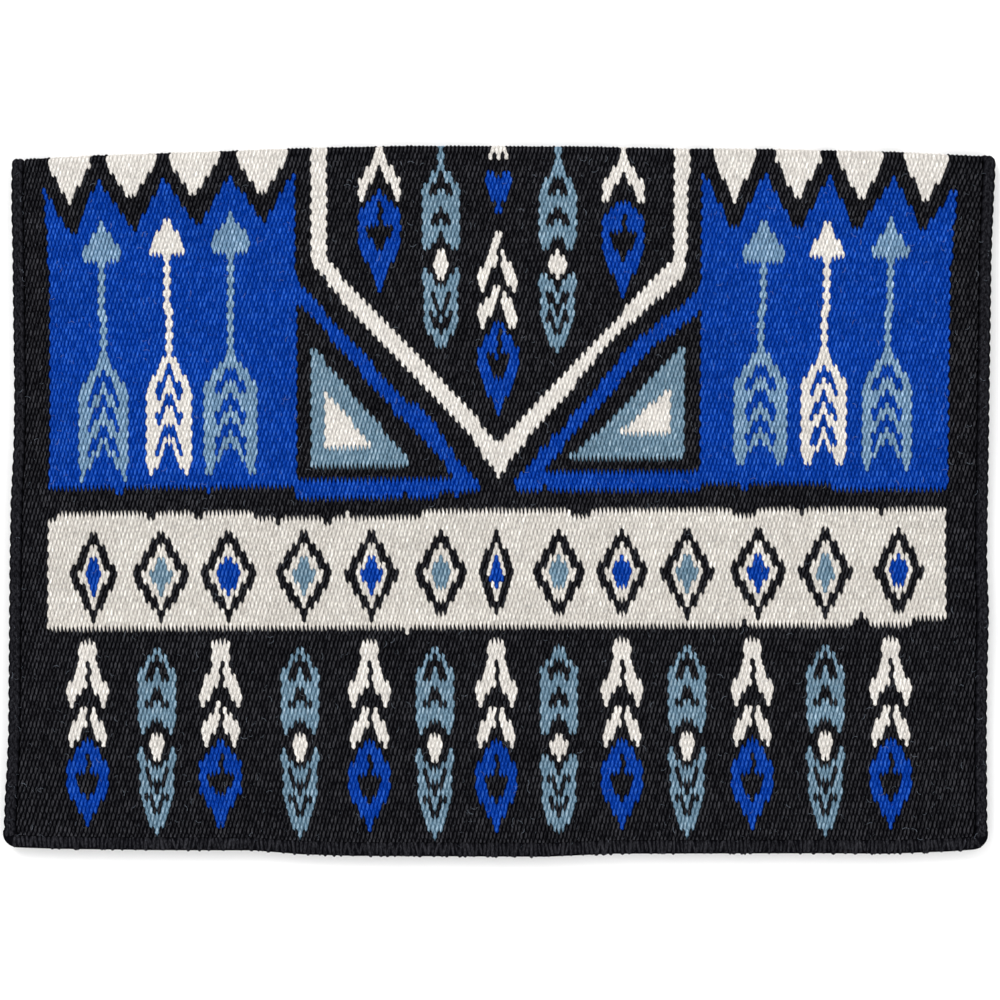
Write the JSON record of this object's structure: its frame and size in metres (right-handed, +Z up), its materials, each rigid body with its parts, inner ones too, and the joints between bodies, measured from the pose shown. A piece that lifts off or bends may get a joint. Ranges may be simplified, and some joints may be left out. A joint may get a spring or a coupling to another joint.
{
  "type": "saddle blanket",
  "caption": "Hand-woven wool saddle blanket, folded at the spine, with inlaid arrow fields, chevron yoke, diamond band, corded hem and plaited sides; it unfolds flat.",
  "frame": {"origin": "centre of the folded blanket's footprint, on the surface it lies on", "axes": "+X along the horse's back, from the front edge to the rear edge; +Y from the hems to the fold at the spine; +Z up, from the off side leaf to the near side leaf"},
  "size_m": [0.864, 0.62, 0.018],
  "materials": {
    "black_wool": "matt hand-spun wool weft, black, with stray light fibres",
    "royal_wool": "matt hand-spun wool weft, royal blue",
    "steel_wool": "matt hand-spun wool weft, steel blue",
    "natural_wool": "matt hand-spun wool weft, undyed white"
  },
  "bodies": {
    "off_side": {"off_ground_weave": "black_wool", "off_yoke_field": "black_wool", "off_chevron": "natural_wool", "off_diamond_band": "natural_wool", "off_hem_cord": "black_wool", "off_edge_plait_front": "black_wool", "off_edge_plait_rear": "black_wool", "off_arrow_field_front": "royal_wool", "off_arrow_front_outer": "steel_wool", "off_arrow_front_middle": "natural_wool", "off_arrow_front_inner": "steel_wool", "off_corner_frame_front": "black_wool", "off_corner_triangle_front": "steel_wool", "off_corner_core_front": "natural_wool", "off_ridge_tooth_front_1": "natural_wool", "off_ridge_tooth_front_2": "natural_wool", "off_ridge_tooth_front_3": "natural_wool", "off_ridge_tooth_front_4": "natural_wool", "off_arrow_field_rear": "royal_wool", "off_arrow_rear_outer": "steel_wool", "off_arrow_rear_middle": "natural_wool", "off_arrow_rear_inner": "steel_wool", "off_corner_frame_rear": "black_wool", "off_corner_triangle_rear": "steel_wool", "off_corner_core_rear": "natural_wool", "off_ridge_tooth_rear_1": "natural_wool", "off_ridge_tooth_rear_2": "natural_wool", "off_ridge_tooth_rear_3": "natural_wool", "off_ridge_tooth_rear_4": "natural_wool"},
    "spine": {"spine_roll": "black_wool"},
    "near_side": {"near_ground_weave": "black_wool", "near_yoke_field": "black_wool", "near_chevron": "natural_wool", "near_diamond_band": "natural_wool", "near_hem_cord": "black_wool", "near_edge_plait_front": "black_wool", "near_edge_plait_rear": "black_wool", "near_arrow_field_front": "royal_wool", "near_arrow_front_outer": "steel_wool", "near_arrow_front_middle": "natural_wool", "near_arrow_front_inner": "steel_wool", "near_corner_frame_front": "black_wool", "near_corner_triangle_front": "steel_wool", "near_corner_core_front": "natural_wool", "near_ridge_tooth_front_1": "natural_wool", "near_ridge_tooth_front_2": "natural_wool", "near_ridge_tooth_front_3": "natural_wool", "near_ridge_tooth_front_4": "natural_wool", "near_arrow_field_rear": "royal_wool", "near_arrow_rear_outer": "steel_wool", "near_arrow_rear_middle": "natural_wool", "near_arrow_rear_inner": "steel_wool", "near_corner_frame_rear": "black_wool", "near_corner_triangle_rear": "steel_wool", "near_corner_core_rear": "natural_wool", "near_ridge_tooth_rear_1": "natural_wool", "near_ridge_tooth_rear_2": "natural_wool", "near_ridge_tooth_rear_3": "natural_wool", "near_ridge_tooth_rear_4": "natural_wool"}
  },
  "joints": [
    {"name": "spine_fold", "type": "hinge", "parent": "off_side", "child": "spine", "pos_m": [0, 0.30512, 0.00488], "axis": [-1, 0, 0], "range_deg": [0, 90], "deforming": ["spine_roll"]},
    {"name": "near_fold", "type": "hinge", "parent": "spine", "child": "near_side", "pos_m": [0, 0.30512, 0.01312], "axis": [-1, 0, 0], "range_deg": [0, 90]}
  ],
  "couplings": [
    {"joint": "near_fold", "follows": "spine_fold", "ratio": 1}
  ]
}
